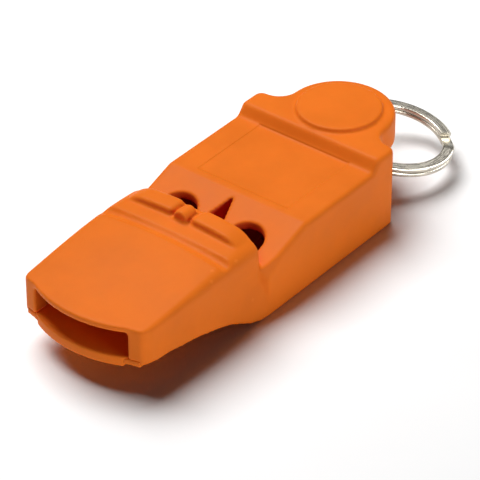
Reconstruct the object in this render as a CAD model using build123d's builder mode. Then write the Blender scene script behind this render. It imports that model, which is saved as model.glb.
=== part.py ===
from build123d import *
import os
from math import atan2, cos, pi, radians, sin

os.makedirs("parts", exist_ok=True)

# Pea-less safety whistle with a split ring.  Millimetres, +Z up.
# The mouthpiece points to -Y, the ring tab to +Y, and the centre plane is X = 0.
# The origin lies on the flat underside, in the middle of the part that it rests on.

clear = 40                  # cutting bodies reach this far past the part

# ---- mouthpiece -------------------------------------------------------------------------------
lip_y = -45.4               # middle of the curved front face
lip_corner_y = -43.2        # where the curved front face meets the cheeks
mouth_half_width = 8.85
mouth_floor_z = 6.5
mouth_roof_z = 10.8         # the windways share this flat roof
cheek_front = (11.25, -42.6)    # the front of each cheek, then its side
cheek_rear = (11.85, -40.6)
cheek_corner_radius = 0.9
mouth_end_y = -16.1         # rear end of the mouthpiece, under the bars
front_plane_y = -46.0       # the outer blank is cut back from here

# Sections of the mouthpiece blank: y, half width, top at the side, top in the middle, and the
# radius of the top corners.
mouth_sections = [
    (front_plane_y, 11.50, 11.40, 11.85, 0.60),
    (-36.0, 12.00, 12.25, 12.75, 1.00),
    (-28.0, 12.30, 12.95, 13.60, 1.50),
    (mouth_end_y, 12.35, 13.30, 14.15, 2.80),
]

# Underside of the cheeks and, standing a little lower, of the panel between them.
cheek_underside = [(-46.5, 5.75), (-38, 5.35), (-30.5, 4.3), (-25.9, 3.2), (-21.7, 1.6), (-15.8, 0)]
panel_underside = [(-46.5, 5.3), (-38, 4.95), (-30.5, 4.05), (-25.9, 3.0), (-21.7, 1.45), (-15.8, 0)]

groove_y = -23.9            # shallow grip groove across the top
groove_depth = 0.30
groove_radius = 1.3
groove_crown_z = 13.85      # the crowned top where the groove crosses it
crown_radius = 72.0

# ---- bars, nub and sound windows --------------------------------------------------------------
bar_front_y = -20.0
bar_top_z = 15.25
bar_inner_x = 1.6           # half of the gap between the bars
bar_gap_depth = 1.1
bar_end_radius = 0.9
bar_flare_radius = 1.8      # the gap flares out at the rear
rear_rim_radius = 1.3       # soft rear edge of the mouthpiece and the bars
bar_outer_x = 12.1
bar_fall_x = 7.6            # outside this the bar curves down to the side
bar_side_z = 10.4
bar_side_drop = 0.35        # fall of the bar's top from the middle to bar_fall_x
bar_thickness = 1.5
nub_radius = 1.25
nub_centre_z = 14.6
nub_y = (-20.4, -17.2)
nub_end_radius = 1.1
window_x = 6.5
window_y = -13.2
window_radius = 3.2

pit_apex_y = -7.3           # wedge-shaped pit between the windows
pit_half_width = 2.9
pit_floor_z = 5.2

# ---- main body --------------------------------------------------------------------------------
body_half_width = 13.45
body_rear_y = 16.2
rear_corner_radius = 1.5
top_z = 12.05               # main top
deck_z = 13.85              # raised rear deck
riser_y = (10.2, 11.6)      # foot and head of the sloped step between them
fold_y = -6.6               # where the slope behind the windows reaches the main top
slope = 0.34                # rise per millimetre of the slope
wall = 1.5
barrel_front_y = mouth_end_y - 0.8
barrel_front_chamfer = 1.15
fold_radius = 1.0           # soft folds of the top
shoulder_point = (body_half_width, -12.0, 10.2)    # a facet trims each front shoulder from here
shoulder_normal = (0.879, -0.319, 0.357)
label_half_width = 8.75
label_front_y = -5.3
label_depth = 0.08
fairing_y = (-27.0, -14.9)
fairing_x = (10.0, 12.0)    # inner face, and where the outer face starts
fairing_sections = [(-0.5, 13.40), (4.0, 13.1), (6.8, 12.3)]    # height and half width

# ---- ring tab ---------------------------------------------------------------------------------
tab_y = 19.2
tab_radius = 8.9
tab_root = 3                # the tab starts this far inside the body
rim_floor_z = 8.5           # edges below this stay crisp
edge_radius = 0.8           # soft outer edges of the body
lower_tab_radius = 7.1
gap_z = (3.9, 8.8)          # open gap that the ring passes through
post_y = 24.2
post_radius = 2.0
disc_radius = 6.8
disc_height = 0.75
disc_edge_radius = 0.45

# ---- inside -----------------------------------------------------------------------------------
cover_half_width = 10.8
cover_thickness = 1.0
cover_rear_y = 14.4
lip_half_width = 8.3
lip_drop = 0.5              # the lip stands this much below the panel beside it
lip_rear_y = -41.0
ramp_y = (-38.0, -19.0)     # where the mouth floor starts and stops rising
splitter_y = -35.0          # nose of the wedge that parts the two windways
splitter_half_width = 3.4
nose_half_width = 2.8
rib_half_width = 0.8
nose_y = (-5.5, -10.0)      # where the rib widens to the nose between the windows
chamber_half_width = 10.6
chamber_rear_y = 14.2
slit_floor_z = 9.8

# ---- split ring -------------------------------------------------------------------------------
ring_radius = 10.0
ring_wire_width = 1.85
ring_turn_height = 0.70
ring_turn_gap = 0.12
ring_wire_corner = 0.2
ring_end_angle = 38         # where the wire passes from one turn to the other
ring_jog_angle = 13         # half of the angle that the passage takes
jog_steps = 6
ring_end_gap = 16           # each end stops short of the passage
ring_centre = (3.75, 28.65, 5.25)
ring_normal = (0.144, 0.108, 0.984)


def slope_z(y):
    """Height of the slope behind the windows, extended forwards and backwards."""
    return top_z + slope * (y - fold_y)


def mouth_section(y, half_width, side_z, crown_z, corner_radius):
    """One cross-section of the mouthpiece blank: crowned top with rounded corners."""
    with BuildSketch(Plane.XZ.offset(-y)) as section:
        with BuildLine():
            Polyline(
                (half_width, side_z),
                (half_width, 0),
                (-half_width, 0),
                (-half_width, side_z),
            )
            ThreePointArc((-half_width, side_z), (0, crown_z), (half_width, side_z))
        make_face()
        fillet(section.vertices().group_by(Axis.Y)[-1], corner_radius)
    return section.sketch


def below(points, drop):
    """Side-view face between an underside curve, raised by drop, and a line well below it."""
    curve = [(y, z + drop) for y, z in points]
    with BuildSketch(Plane.YZ) as face:
        with BuildLine():
            Spline(*curve, tangents=[(1, -0.03), (1, 0)])
            Polyline(curve[-1], (clear, drop), (clear, -clear), (curve[0][0], -clear), curve[0])
        make_face()
    return face.sketch


# ==== outline and blanks ========================================================================
with BuildPart() as front_trim:
    with BuildSketch(Plane.XY.offset(-10)) as front_outline:
        with BuildLine():
            ThreePointArc(
                (-mouth_half_width, lip_corner_y), (0, lip_y), (mouth_half_width, lip_corner_y)
            )
            Polyline(
                (mouth_half_width, lip_corner_y),
                cheek_front,
                cheek_rear,
                (clear, cheek_rear[1]),
                (clear, clear),
                (-clear, clear),
                (-clear, cheek_rear[1]),
                (-cheek_rear[0], cheek_rear[1]),
                (-cheek_front[0], cheek_front[1]),
                (-mouth_half_width, lip_corner_y),
            )
        make_face()
        corners = front_outline.vertices().filter_by_position(
            Axis.Y, cheek_front[1] - 0.1, cheek_front[1] + 0.1
        )
        fillet(corners, cheek_corner_radius)
    extrude(amount=clear)

# The bars cross the rear end of the mouthpiece.  Its whole rear rim is soft.
with BuildPart() as mouthpiece:
    for values in mouth_sections:
        add(mouth_section(*values))
    loft()
    with BuildSketch(Plane.XZ.offset(-bar_front_y)):
        with BuildLine():
            side_top = bar_top_z - bar_side_drop
            ThreePointArc((-bar_fall_x, side_top), (0, bar_top_z), (bar_fall_x, side_top))
            TangentArc((bar_fall_x, side_top), (bar_outer_x, bar_side_z), tangent=(1, -0.09))
            Polyline(
                (bar_outer_x, bar_side_z),
                (bar_outer_x - bar_thickness, bar_side_z - bar_thickness),
                (-bar_outer_x + bar_thickness, bar_side_z - bar_thickness),
                (-bar_outer_x, bar_side_z),
            )
            TangentArc((-bar_fall_x, side_top), (-bar_outer_x, bar_side_z), tangent=(-1, -0.09))
        make_face()
    extrude(amount=bar_front_y - mouth_end_y)
    rear_rim = mouthpiece.edges().filter_by_position(Axis.Y, mouth_end_y - 0.01, mouth_end_y + 0.01)
    rear_rim = rear_rim.filter_by(lambda e: e.center().Z > rim_floor_z)
    fillet(rear_rim, rear_rim_radius)

with BuildPart() as bar_gap:
    with BuildSketch(Plane.XY.offset(bar_top_z - bar_gap_depth)):
        with BuildLine():
            flare_start = (bar_inner_x, mouth_end_y - bar_flare_radius)
            flare_end = (bar_inner_x + bar_flare_radius, mouth_end_y)
            Polyline((0, mouth_end_y), (0, bar_front_y - 1), (bar_inner_x, bar_front_y - 1), flare_start)
            TangentArc(flare_start, flare_end, tangent=(0, 1))
            Line(flare_end, (0, mouth_end_y))
        make_face()
        mirror(about=Plane.YZ)
    extrude(amount=clear)

with BuildPart() as nub:
    with BuildSketch(Plane.XZ.offset(-nub_y[0])):
        with Locations((0, nub_centre_z)):
            Circle(nub_radius)
    extrude(amount=nub_y[0] - nub_y[1])
    fillet(nub.edges().group_by(Axis.Y)[-1], nub_end_radius)

# Low fairings widen the walls of the mouthpiece to the width of the body.
with BuildPart() as fairings:
    for height, bulge in fairing_sections:
        with BuildSketch(Plane.XY.offset(height)):
            with BuildLine():
                start = (fairing_x[1], fairing_y[0])
                end = (bulge, fairing_y[1])
                Spline(start, end, tangents=[(0.05, 1), (0, 1)])
                Polyline(end, (fairing_x[0], fairing_y[1]), (fairing_x[0], fairing_y[0]), start)
            make_face()
    loft()
    mirror(about=Plane.YZ)

# On each side a hollow curve leads from the end of the rear wall into the tab's round outline.
hollow_x = body_half_width - rear_corner_radius
tab_reach = tab_y - body_rear_y
hollow_radius = (hollow_x**2 - tab_radius**2 + tab_reach**2) / (2 * (tab_radius + tab_reach))
hollow_angle = atan2(hollow_radius - tab_reach, hollow_x)
tab_end = (tab_radius * cos(hollow_angle), tab_y + tab_radius * sin(hollow_angle))

with BuildPart() as barrel:
    with BuildSketch(Plane.YZ) as barrel_side:
        with BuildLine():
            Polyline(
                (barrel_front_y, 0),
                (body_rear_y, 0),
                (body_rear_y, deck_z),
                (riser_y[1], deck_z),
                (riser_y[0], top_z),
                (fold_y, top_z),
                (barrel_front_y, slope_z(barrel_front_y)),
                close=True,
            )
        make_face()
        soft = barrel_side.vertices().filter_by_position(Axis.X, fold_y - 0.1, riser_y[1] + 0.1)
        fillet(soft, fold_radius)
    extrude(amount=body_half_width, both=True)
    upright = barrel.edges().filter_by(Axis.Z)
    fillet(upright.group_by(Axis.Y)[-1], rear_corner_radius)
    chamfer(upright.group_by(Axis.Y)[0], length=barrel_front_chamfer)
    for side in (1, -1):
        facet = Plane(
            origin=(side * shoulder_point[0], shoulder_point[1], shoulder_point[2]),
            z_dir=(side * shoulder_normal[0], shoulder_normal[1], shoulder_normal[2]),
        )
        split(bisect_by=facet, keep=Keep.BOTTOM)

with BuildPart() as tab_upper:
    with BuildSketch(Plane.XY.offset(gap_z[1])):
        with BuildLine():
            Polyline(
                (0, tab_y + tab_radius),
                (0, body_rear_y - tab_root),
                (hollow_x, body_rear_y - tab_root),
                (hollow_x, body_rear_y),
            )
            RadiusArc((hollow_x, body_rear_y), tab_end, hollow_radius)
            RadiusArc(tab_end, (0, tab_y + tab_radius), -tab_radius)
        make_face()
        mirror(about=Plane.YZ)
    extrude(amount=deck_z - gap_z[1])

# The chambers' plan leaves a rib on the centre plane, which widens to a nose between the windows.
with BuildPart() as chambers:
    with BuildSketch(Plane.YZ):
        with BuildLine():
            Polyline(
                (mouth_end_y, -1),
                (chamber_rear_y, -1),
                (chamber_rear_y, top_z - wall),
                (fold_y, top_z - wall),
                (mouth_end_y, slope_z(mouth_end_y) - wall),
                close=True,
            )
        make_face()
    extrude(amount=chamber_half_width, both=True)
    with BuildSketch(Plane.XY.offset(-1)):
        with BuildLine():
            Polyline(
                (0, chamber_rear_y),
                (rib_half_width, chamber_rear_y),
                (rib_half_width, nose_y[0]),
                (nose_half_width, nose_y[1]),
                (splitter_half_width, mouth_end_y),
                (0, mouth_end_y),
                close=True,
            )
        make_face()
        mirror(about=Plane.YZ)
    extrude(amount=clear, mode=Mode.SUBTRACT)

with BuildPart() as cover_seat:
    extrude(below(panel_underside, cover_thickness), amount=cover_half_width, both=True)
    split(bisect_by=Plane.XZ.offset(-cover_rear_y), keep=Keep.TOP)

# ==== body shell ================================================================================
with BuildPart() as body_shell:
    add(mouthpiece.part)
    add(barrel.part)
    add(tab_upper.part)
    add(fairings.part)
    with BuildSketch(Plane.XY):
        with Locations((0, tab_y)):
            Circle(lower_tab_radius)
    extrude(amount=gap_z[0])
    with BuildSketch(Plane.XY):
        with Locations((0, post_y)):
            Circle(post_radius)
    extrude(amount=deck_z - 1)
    rim = body_shell.edges().filter_by(lambda e: e.center().Z > rim_floor_z)
    side_rim = rim.filter_by(lambda e: abs(abs(e.center().X) - body_half_width) < 0.01)
    deck_rim = rim.filter_by_position(Axis.Z, deck_z - 0.01, deck_z + 0.01)
    deck_rim = deck_rim.filter_by(lambda e: e.center().Y > riser_y[1] + 2)
    fillet(side_rim + deck_rim, edge_radius)

    # raised disc on the tab
    with BuildSketch(Plane.XY.offset(deck_z)):
        with Locations((0, tab_y)):
            Circle(disc_radius)
    extrude(amount=disc_height)
    fillet(body_shell.edges().group_by(Axis.Z)[-1], disc_edge_radius)

    # gap between the bars, and the nub in it
    add(bar_gap.part, mode=Mode.SUBTRACT)
    bar_ends = body_shell.edges().filter_by(Axis.Z).filter_by_position(Axis.X, -2, 2)
    bar_ends = bar_ends.filter_by_position(Axis.Y, bar_front_y - 0.1, bar_front_y + 0.1)
    fillet(bar_ends, bar_end_radius)
    add(nub.part)

    # grip groove across the top, following its crown
    with BuildSketch(Plane.YZ):
        with Locations((groove_y, groove_crown_z - groove_depth + groove_radius)):
            Circle(groove_radius)
    crown_axis = Axis((0, 0, groove_crown_z - crown_radius), (0, 1, 0))
    revolve(axis=crown_axis, revolution_arc=360, mode=Mode.SUBTRACT)

    # shallow label panel
    with BuildSketch(Plane.XY.offset(top_z - label_depth)):
        with Locations((0, label_front_y)):
            label_length = riser_y[0] - label_front_y
            Rectangle(2 * label_half_width, label_length, align=(Align.CENTER, Align.MIN))
    extrude(amount=1, mode=Mode.SUBTRACT)

    # slots for the mouth and the windways
    with BuildSketch(Plane.XZ.offset(-mouth_end_y)):
        with Locations((0, -1)):
            Rectangle(2 * mouth_half_width, mouth_roof_z + 1, align=(Align.CENTER, Align.MIN))
    extrude(amount=clear, mode=Mode.SUBTRACT)

    # the two resonance chambers, open below until the base cover closes them
    add(chambers.part, mode=Mode.SUBTRACT)

    # sound windows, cut down through the slope into the chambers
    with BuildSketch(Plane.XY.offset(cover_thickness)):
        with Locations((-window_x, window_y), (window_x, window_y)):
            Circle(window_radius)
        with Locations((-window_x, window_y), (window_x, window_y)):
            Rectangle(2 * window_radius, window_y - mouth_end_y, align=(Align.CENTER, Align.MAX))
    extrude(amount=clear, mode=Mode.SUBTRACT)

    # wedge-shaped pit between the windows
    with BuildSketch(Plane.XY.offset(pit_floor_z)):
        with BuildLine():
            Polyline(
                (0, pit_apex_y),
                (pit_half_width, mouth_end_y),
                (-pit_half_width, mouth_end_y),
                close=True,
            )
        make_face()
    extrude(amount=clear, mode=Mode.SUBTRACT)

    # seats for the base cover, and the underside of the cheeks
    add(cover_seat.part, mode=Mode.SUBTRACT)
    extrude(below(cheek_underside, 0), amount=clear, both=True, mode=Mode.SUBTRACT)
    add(front_trim.part, mode=Mode.INTERSECT)

# ==== base cover ================================================================================
with BuildPart() as base_cover:
    add(cover_seat.part)
    extrude(below(panel_underside, 0), amount=clear, both=True, mode=Mode.SUBTRACT)
    with BuildSketch(Plane.XY.offset(-1)):
        with Locations((0, lip_rear_y)):
            Rectangle(2 * lip_half_width, 20, align=(Align.CENTER, Align.MAX))
    extrude(amount=10, mode=Mode.SUBTRACT)
    add(front_trim.part, mode=Mode.INTERSECT)

# ==== windway insert ============================================================================
with BuildPart() as windway_insert:
    with BuildSketch(Plane.YZ):
        with BuildLine():
            Polyline(
                (front_plane_y, mouth_floor_z),
                (ramp_y[0], mouth_floor_z),
                (ramp_y[1], slit_floor_z),
                (mouth_end_y, slit_floor_z),
                (mouth_end_y, 0),
                (front_plane_y, 0),
                close=True,
            )
        make_face()
    extrude(amount=mouth_half_width, both=True)
    with BuildSketch(Plane.XY.offset(cover_thickness)):
        with BuildLine():
            Polyline(
                (0, splitter_y),
                (splitter_half_width, mouth_end_y),
                (-splitter_half_width, mouth_end_y),
                close=True,
            )
        make_face()
    extrude(amount=mouth_roof_z - cover_thickness)
    extrude(below(panel_underside, cover_thickness), amount=clear, both=True, mode=Mode.SUBTRACT)
    # lip that fills the notch in the cover
    with BuildSketch(Plane.YZ):
        with BuildLine():
            Polyline(
                (front_plane_y, mouth_floor_z),
                (lip_rear_y, mouth_floor_z),
                (lip_rear_y, 3),
                (front_plane_y, 3),
                close=True,
            )
        make_face()
    extrude(amount=lip_half_width, both=True)
    extrude(below(panel_underside, -lip_drop), amount=clear, both=True, mode=Mode.SUBTRACT)
    add(front_trim.part, mode=Mode.INTERSECT)

# ==== split ring ================================================================================
# One flattened wire makes two turns.  Each turn is flat, and a short jog joins them.
wire_radius = ring_radius - ring_wire_width / 2
level = (ring_turn_height + ring_turn_gap) / 2
ring_plane = Plane(origin=ring_centre, z_dir=ring_normal, x_dir=(1, 0, -ring_normal[0] / ring_normal[2]))


def ring_point(angle, height):
    """Point on the wire's centre line, in the ring's own plane."""
    return Vector(wire_radius * cos(radians(angle)), wire_radius * sin(radians(angle)), height)


def ring_tangent(angle):
    """Direction of the wire at an angle, counter-clockwise."""
    return Vector(-sin(radians(angle)), cos(radians(angle)), 0)


def wire_section(angle, height):
    """Rounded rectangle of the flattened wire, standing across it at an angle."""
    across = Plane(
        origin=ring_point(angle, height),
        z_dir=ring_tangent(angle),
        x_dir=(cos(radians(angle)), sin(radians(angle)), 0),
    )
    with BuildSketch(across) as section:
        RectangleRounded(ring_wire_width, ring_turn_height, ring_wire_corner)
    return section.sketch


turn_angle = 360 - ring_jog_angle - ring_end_gap
with BuildPart() as flat_ring:
    revolve(wire_section(ring_end_angle + ring_end_gap, level), Axis.Z, turn_angle)
    revolve(wire_section(ring_end_angle + ring_jog_angle, -level), Axis.Z, turn_angle)
    for step in range(jog_steps + 1):
        share = step / jog_steps
        angle = ring_end_angle + ring_jog_angle * (2 * share - 1)
        add(wire_section(angle, level * cos(pi * share)))
    loft()

with BuildPart() as split_ring:
    add(flat_ring.part.moved(ring_plane.location))

# ==== export ====================================================================================
pieces = {
    "body_shell": body_shell,
    "base_cover": base_cover,
    "windway_insert": windway_insert,
    "split_ring": split_ring,
}
for name, piece in pieces.items():
    piece.part.label = name
    export_step(piece.part, f"parts/{name}.step")
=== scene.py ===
from math import cos, radians, sin

import bpy
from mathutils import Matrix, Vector


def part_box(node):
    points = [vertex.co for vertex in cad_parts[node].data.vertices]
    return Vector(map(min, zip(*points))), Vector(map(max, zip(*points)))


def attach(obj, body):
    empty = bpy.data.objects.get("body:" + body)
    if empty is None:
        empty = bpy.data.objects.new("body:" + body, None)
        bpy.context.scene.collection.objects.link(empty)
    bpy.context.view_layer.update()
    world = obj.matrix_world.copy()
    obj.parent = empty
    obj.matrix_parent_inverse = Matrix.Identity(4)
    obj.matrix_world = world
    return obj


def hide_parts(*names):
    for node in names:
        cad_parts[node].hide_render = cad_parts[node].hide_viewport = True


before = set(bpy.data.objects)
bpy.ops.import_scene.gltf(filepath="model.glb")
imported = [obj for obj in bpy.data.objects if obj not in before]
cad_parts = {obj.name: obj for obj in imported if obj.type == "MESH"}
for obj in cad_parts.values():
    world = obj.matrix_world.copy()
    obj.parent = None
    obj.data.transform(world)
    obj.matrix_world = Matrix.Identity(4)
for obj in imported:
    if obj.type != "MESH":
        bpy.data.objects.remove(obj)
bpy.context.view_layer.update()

MM = 0.001

# ---- colours, all linear ------------------------------------------------------------------------
ORANGE = (0.83, 0.178, 0.014)        # moulded plastic
ORANGE_PALE = (0.86, 0.208, 0.026)   # paler colour on sharp convex edges
ORANGE_PAINTED_SHADE = (0.62, 0.050, 0.014)   # painted shade inside the hollows
NICKEL = (0.72, 0.67, 0.57)
FLOOR_WHITE = (0.92, 0.92, 0.92)

# ---- painted shade in hollows: below CLOSED the plastic is all painted shade, above OPEN it is all plain ---
HOLLOW_REACH = 14.0 * MM
HOLLOW_CLOSED = 0.42
HOLLOW_OPEN = 0.70

# ---- label panel on the main top ----------------------------------------------------------------
LABEL_HALF_WIDTH = 8.75 * MM
LABEL_FRONT_Y = -5.3 * MM
LABEL_REAR_Y = 10.2 * MM
LABEL_LOW_Z = 11.0 * MM
LABEL_STEP = 0.09 * MM
LABEL_DEPTH = 0.08 * MM

# ---- rounding of the mouldings ------------------------------------------------------------------
SHELL_VOXEL = 0.25 * MM
SHELL_PASSES = 5
SMALL_VOXEL = 0.22 * MM
SMALL_PASSES = 3

# ---- ring ---------------------------------------------------------------------------------------
RING_AXIS = Vector((0.144, 0.108, 0.984)).normalized()   # axis of the coil at rest
WIRE_MARK_STRETCH = 0.4 * MM   # noise space per radian, small so that marks run along the wire

# ---- stage --------------------------------------------------------------------------------------
FLOOR_SIZE = 4.0
FLOOR_Z = -0.02 * MM
LIGHT_TARGET = Vector((0, -3, 6)) * MM
AMBIENT = 0.025

# ---- camera -------------------------------------------------------------------------------------
CAMERA_AZIMUTH = 38.43
CAMERA_ELEVATION = 35.42
CAMERA_DISTANCE = 494.3 * MM
CAMERA_TARGET = Vector((0, -5.85, 2.65)) * MM
CAMERA_LENS = 240.75
CAMERA_SENSOR = 36.0
CAMERA_CLIP = (0.01, 20.0)


# ==== helpers ====================================================================================
def link(obj):
    bpy.context.scene.collection.objects.link(obj)
    return obj


def apply_modifiers(obj):
    bpy.ops.object.select_all(action="DESELECT")
    obj.select_set(True)
    bpy.context.view_layer.objects.active = obj
    for modifier in list(obj.modifiers):
        bpy.ops.object.modifier_apply(modifier=modifier.name)


def shade_smooth(mesh):
    mesh.polygons.foreach_set("use_smooth", [True] * len(mesh.polygons))


def aim(obj, back):
    """Points a light or camera the opposite way to back."""
    obj.rotation_euler = back.to_track_quat("Z", "Y").to_euler()


def direction(azimuth, elevation):
    """Unit vector from the object towards a viewer; azimuth 0 stands in front, at -Y."""
    a = radians(azimuth)
    e = radians(elevation)
    return Vector((sin(a) * cos(e), -cos(a) * cos(e), sin(e)))


def scaled(colour, factor):
    return tuple(factor * c for c in colour)


# ==== materials ==================================================================================
class Nodes:
    """Short calls for building one material's node tree."""

    def __init__(self, name):
        self.material = bpy.data.materials.new(name)
        self.material.use_nodes = True
        self.tree = self.material.node_tree
        self.tree.nodes.clear()
        self.shader = self.new("ShaderNodeBsdfPrincipled")
        output = self.new("ShaderNodeOutputMaterial")
        self.join(self.shader, "BSDF", output, "Surface")
        self.coordinates = self.new("ShaderNodeTexCoord")

    def new(self, kind, **settings):
        node = self.tree.nodes.new(kind)
        for key, value in settings.items():
            setattr(node, key, value)
        return node

    def join(self, source, output, target, socket):
        self.tree.links.new(source.outputs[output], target.inputs[socket])

    def drive(self, value, socket):
        """Links an output to one of the shader's own sockets."""
        self.tree.links.new(value, self.shader.inputs[socket])

    def noise(self, scale, detail, roughness, vector=None):
        node = self.new("ShaderNodeTexNoise")
        node.inputs["Scale"].default_value = scale
        node.inputs["Detail"].default_value = detail
        node.inputs["Roughness"].default_value = roughness
        if vector is None:
            vector = self.coordinates.outputs["Object"]
        self.tree.links.new(vector, node.inputs["Vector"])
        return node.outputs["Fac"]

    def remap(self, source, low_in, high_in, low, high):
        node = self.new("ShaderNodeMapRange")
        self.tree.links.new(source, node.inputs["Value"])
        node.inputs["From Min"].default_value = low_in
        node.inputs["From Max"].default_value = high_in
        node.inputs["To Min"].default_value = low
        node.inputs["To Max"].default_value = high
        return node.outputs["Result"]

    def mix(self, factor, first, second):
        """Mixes two colours, each given as a tuple or as a socket."""
        node = self.new("ShaderNodeMix", data_type="RGBA")
        self.tree.links.new(factor, node.inputs["Factor"])
        for socket, value in (("A", first), ("B", second)):
            target = [s for s in node.inputs if s.name == socket and s.type == "RGBA"][0]
            if isinstance(value, tuple):
                target.default_value = (*value, 1.0)
            else:
                self.tree.links.new(value, target)
        return [s for s in node.outputs if s.type == "RGBA"][0]

    def math(self, operation, first, second=0.0):
        """One Math node, each operand given as a float or as a socket."""
        node = self.new("ShaderNodeMath", operation=operation)
        for socket, value in zip(node.inputs, (first, second)):
            if isinstance(value, float):
                socket.default_value = value
            else:
                self.tree.links.new(value, socket)
        return node.outputs["Value"]

    def bump(self, heights):
        """Chains bumps given as (height socket, strength, distance in metres)."""
        previous = None
        for height, strength, distance in heights:
            node = self.new("ShaderNodeBump")
            node.inputs["Strength"].default_value = strength
            node.inputs["Distance"].default_value = distance
            self.tree.links.new(height, node.inputs["Height"])
            if previous is not None:
                self.join(previous, "Normal", node, "Normal")
            previous = node
        self.join(previous, "Normal", self.shader, "Normal")


def label_step(nodes):
    """0 inside the label panel on the main top and 1 outside it, with a fine step between."""
    place = nodes.new("ShaderNodeSeparateXYZ")
    nodes.join(nodes.coordinates, "Object", place, "Vector")
    across = nodes.math("SUBTRACT", nodes.math("ABSOLUTE", place.outputs["X"]), LABEL_HALF_WIDTH)
    ahead = nodes.math("SUBTRACT", LABEL_FRONT_Y, place.outputs["Y"])
    behind = nodes.math("SUBTRACT", place.outputs["Y"], LABEL_REAR_Y)
    below = nodes.math("SUBTRACT", LABEL_LOW_Z, place.outputs["Z"])
    outside = nodes.math("MAXIMUM", nodes.math("MAXIMUM", across, ahead), behind)
    outside = nodes.math("MAXIMUM", outside, below)
    return nodes.remap(outside, -LABEL_STEP, LABEL_STEP, 0.0, 1.0)


def moulded_plastic(name, colour, pale, painted_shade_colour):
    """Satin moulded plastic: fine texture, soft colour drift, paler sharp edges, painted shade in
    the hollows.
    """
    nodes = Nodes(name)
    drift = nodes.noise(90.0, 4.0, 0.55)
    speck = nodes.noise(2600.0, 2.0, 0.6)
    grain = nodes.noise(5200.0, 2.0, 0.5)
    waves = nodes.noise(160.0, 2.0, 0.4)
    base = nodes.mix(nodes.remap(drift, 0.35, 0.65, 0.0, 1.0), scaled(colour, 0.90), colour)
    geometry = nodes.new("ShaderNodeNewGeometry")
    # the colour is mixed towards ORANGE_PALE where the surface is sharply convex
    edges = nodes.remap(geometry.outputs["Pointiness"], 0.53, 0.62, 0.0, 0.55)
    base = nodes.mix(edges, base, pale)
    specks = nodes.remap(speck, 0.66, 0.74, 0.0, 0.20)
    base = nodes.mix(specks, base, scaled(colour, 0.78))
    # painted shade: where ambient occlusion finds a hollow the colour is painted deeper and redder,
    # standing in for light bouncing inside it
    hollow = nodes.new("ShaderNodeAmbientOcclusion", samples=12, only_local=True)
    hollow.inputs["Distance"].default_value = HOLLOW_REACH
    openness = nodes.remap(hollow.outputs["AO"], HOLLOW_CLOSED, HOLLOW_OPEN, 0.0, 1.0)
    nodes.drive(nodes.mix(openness, painted_shade_colour, base), "Base Color")
    nodes.drive(nodes.remap(drift, 0.3, 0.7, 0.40, 0.52), "Roughness")
    sockets = nodes.shader.inputs
    sockets["IOR"].default_value = 1.53
    sockets["Specular IOR Level"].default_value = 0.06
    sockets["Subsurface Weight"].default_value = 0.12
    sockets["Subsurface Radius"].default_value = (1.0, 0.32, 0.08)
    sockets["Subsurface Scale"].default_value = 0.8 * MM
    nodes.bump([
        (waves, 0.10, 0.10 * MM),
        (grain, 0.16, 0.020 * MM),
        (label_step(nodes), 1.0, LABEL_DEPTH),
    ])
    return nodes.material


def plated_wire(name, colour, centre, axis):
    """Nickel-plated spring wire, drawn marks running along each turn."""
    nodes = Nodes(name)
    # coordinates about the coil's own axis: radius, height and a little of the angle
    mapping = nodes.new("ShaderNodeMapping", vector_type="POINT")
    turn = Vector((0, 0, 1)).rotation_difference(axis).inverted()
    mapping.inputs["Location"].default_value = -(turn @ centre)
    mapping.inputs["Rotation"].default_value = turn.to_euler()
    nodes.join(nodes.coordinates, "Object", mapping, "Vector")
    parts = nodes.new("ShaderNodeSeparateXYZ")
    nodes.join(mapping, "Vector", parts, "Vector")
    angle = nodes.math("ARCTAN2", parts.outputs["Y"], parts.outputs["X"])
    flat = nodes.new("ShaderNodeCombineXYZ")
    nodes.join(parts, "X", flat, "X")
    nodes.join(parts, "Y", flat, "Y")
    radius = nodes.new("ShaderNodeVectorMath", operation="LENGTH")
    nodes.join(flat, "Vector", radius, 0)
    along = nodes.new("ShaderNodeCombineXYZ")
    slow = nodes.math("MULTIPLY", angle, WIRE_MARK_STRETCH)
    nodes.join(radius, "Value", along, "X")
    nodes.join(parts, "Z", along, "Y")
    nodes.tree.links.new(slow, along.inputs["Z"])
    drawn = nodes.noise(9000.0, 3.0, 0.6, along.outputs["Vector"])
    clouds = nodes.noise(420.0, 4.0, 0.6)
    tone = nodes.remap(clouds, 0.35, 0.7, 0.0, 1.0)
    base = nodes.mix(tone, colour, scaled(colour, 0.80))
    scratches = nodes.remap(drawn, 0.45, 0.75, 0.0, 0.35)
    nodes.drive(nodes.mix(scratches, base, scaled(colour, 0.62)), "Base Color")
    nodes.shader.inputs["Metallic"].default_value = 1.0
    nodes.drive(nodes.remap(drawn, 0.3, 0.7, 0.20, 0.36), "Roughness")
    nodes.bump([
        (drawn, 0.10, 0.010 * MM),
        (clouds, 0.03, 0.02 * MM),
    ])
    return nodes.material


def floor_material():
    nodes = Nodes("studio_floor")
    mottle = nodes.remap(nodes.noise(40.0, 3.0, 0.5), 0.3, 0.7, 0.0, 1.0)
    nodes.drive(nodes.mix(mottle, FLOOR_WHITE, scaled(FLOOR_WHITE, 0.985)), "Base Color")
    nodes.shader.inputs["Roughness"].default_value = 0.85
    return nodes.material


# ==== mouldings ==================================================================================
def softened(node, name, voxel, passes, material):
    """A remeshed copy of a CAD moulding with its sharp edges rounded."""
    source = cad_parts[node]
    piece = link(bpy.data.objects.new(name, source.data.copy()))
    piece.data.materials.clear()
    piece.data.materials.append(material)
    remesh = piece.modifiers.new("even", "REMESH")
    remesh.mode = "VOXEL"
    remesh.voxel_size = voxel
    remesh.adaptivity = 0.0
    smooth = piece.modifiers.new("round", "SMOOTH")
    smooth.factor = 0.5
    smooth.iterations = passes
    apply_modifiers(piece)
    shade_smooth(piece.data)
    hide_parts(node)
    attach(piece, "whistle")
    return piece


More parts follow.
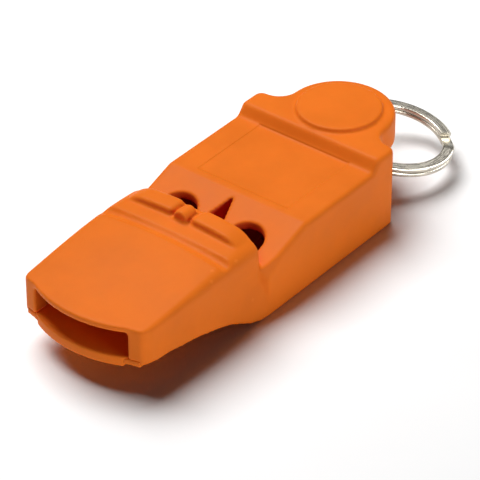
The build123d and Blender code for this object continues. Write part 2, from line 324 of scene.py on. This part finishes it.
orange = moulded_plastic("orange_abs", ORANGE, ORANGE_PALE, ORANGE_PAINTED_SHADE)
shell = softened("body_shell", "shell_moulding", SHELL_VOXEL, SHELL_PASSES, orange)
cover = softened("base_cover", "cover_moulding", SMALL_VOXEL, SMALL_PASSES, orange)
insert = softened("windway_insert", "insert_moulding", SMALL_VOXEL, SMALL_PASSES, orange)

# The underside panel is hidden from bounced light, so it throws no orange onto the floor.
# That keeps the shadow darker.
cover.visible_diffuse = False

# The ring stays the CAD piece and only gets a material.
ring_low, ring_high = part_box("split_ring")
ring_centre = (ring_low + ring_high) / 2
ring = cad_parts["split_ring"]
ring.data.materials.clear()
ring.data.materials.append(plated_wire("nickel_wire", NICKEL, ring_centre, RING_AXIS))


# ==== stage ======================================================================================
def make_floor():
    bpy.ops.mesh.primitive_plane_add(size=FLOOR_SIZE, location=(0, 0, FLOOR_Z))
    floor = bpy.context.active_object
    floor.name = "floor"
    floor.data.materials.append(floor_material())
    return floor


def light_group(name, members):
    """A collection that a light can be limited to."""
    group = bpy.data.collections.new(name)
    for member in members:
        group.objects.link(member)
    return group


def area_light(name, towards, distance, size, power, only):
    data = bpy.data.lights.new(name, "AREA")
    data.shape = "RECTANGLE"
    data.size, data.size_y = size
    data.energy = power
    light = link(bpy.data.objects.new(name, data))
    back = Vector(towards).normalized()
    light.location = LIGHT_TARGET + distance * back
    aim(light, back)
    light.light_linking.receiver_collection = only
    return light


# Each light lights one group only: the floor, the whole object, or the ring by itself.
object_only = light_group("object_only", [shell, cover, insert, ring])
floor_only = light_group("floor_only", [make_floor()])
ring_only = light_group("ring_only", [ring])
area_light("floor_key", (-0.52, 0.10, 1.0), 0.60, (0.44, 0.44), 5.6, floor_only)
area_light("key", (-0.42, 0.14, 1.0), 0.60, (0.34, 0.34), 4.2, object_only)
area_light("side_fill", (1.0, -0.02, 0.22), 0.55, (0.30, 0.14), 1.2, object_only)
bounce = area_light("front_bounce", (0.05, -1.0, 0.02), 0.50, (0.30, 0.10), 0.22, object_only)
area_light("ring_glow", (0.35, 0.75, 0.75), 0.40, (0.40, 0.30), 2.7, ring_only)
area_light("ring_glow_low", (0.75, -0.55, 0.45), 0.40, (0.20, 0.20), 1.3, ring_only)

# The low front light stands partly under the floor, so the floor must not block it.
bounce.light_linking.blocker_collection = object_only

world = bpy.data.worlds.new("studio")
bpy.context.scene.world = world
world.use_nodes = True
background = world.node_tree.nodes["Background"]
background.inputs["Color"].default_value = (1, 1, 1, 1)
background.inputs["Strength"].default_value = AMBIENT

camera_data = bpy.data.cameras.new("camera")
camera_data.lens = CAMERA_LENS
camera_data.sensor_width = CAMERA_SENSOR
camera_data.clip_start, camera_data.clip_end = CAMERA_CLIP
camera = link(bpy.data.objects.new("camera", camera_data))
towards = direction(CAMERA_AZIMUTH, CAMERA_ELEVATION)
camera.location = CAMERA_TARGET + CAMERA_DISTANCE * towards
aim(camera, towards)
bpy.context.scene.camera = camera
bpy.context.scene.view_settings.view_transform = "Standard"
